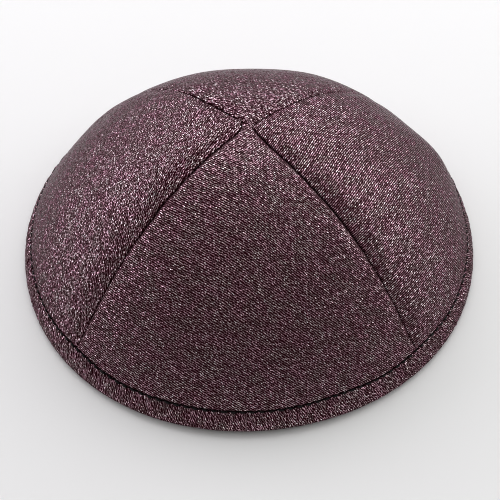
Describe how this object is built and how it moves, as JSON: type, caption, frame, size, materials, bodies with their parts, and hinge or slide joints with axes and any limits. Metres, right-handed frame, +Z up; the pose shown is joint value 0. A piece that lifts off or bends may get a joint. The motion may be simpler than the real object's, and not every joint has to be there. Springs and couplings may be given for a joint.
{
  "type": "kippah skullcap",
  "caption": "Shallow stiff dome cap sewn from gores that meet at the crown, with a bias binding folded round its open rim.",
  "frame": {"origin": "centre of the rim, on the surface that the rim rests on", "axes": "+Z up through the crown, -Y towards the front gore, +X to the right of someone who looks at the front gore"},
  "size_m": [0.1632, 0.1631, 0.0561],
  "materials": {
    "gore_cloth": "dark plum twill with a metallic thread, stiffened",
    "binding_cloth": "the same twill cut on the bias and folded, with a dark topstitch"
  },
  "bodies": {
    "root": {"panel_front": "gore_cloth", "panel_right": "gore_cloth", "panel_back": "gore_cloth", "panel_left": "gore_cloth", "rim_binding": "binding_cloth"}
  },
  "joints": []
}
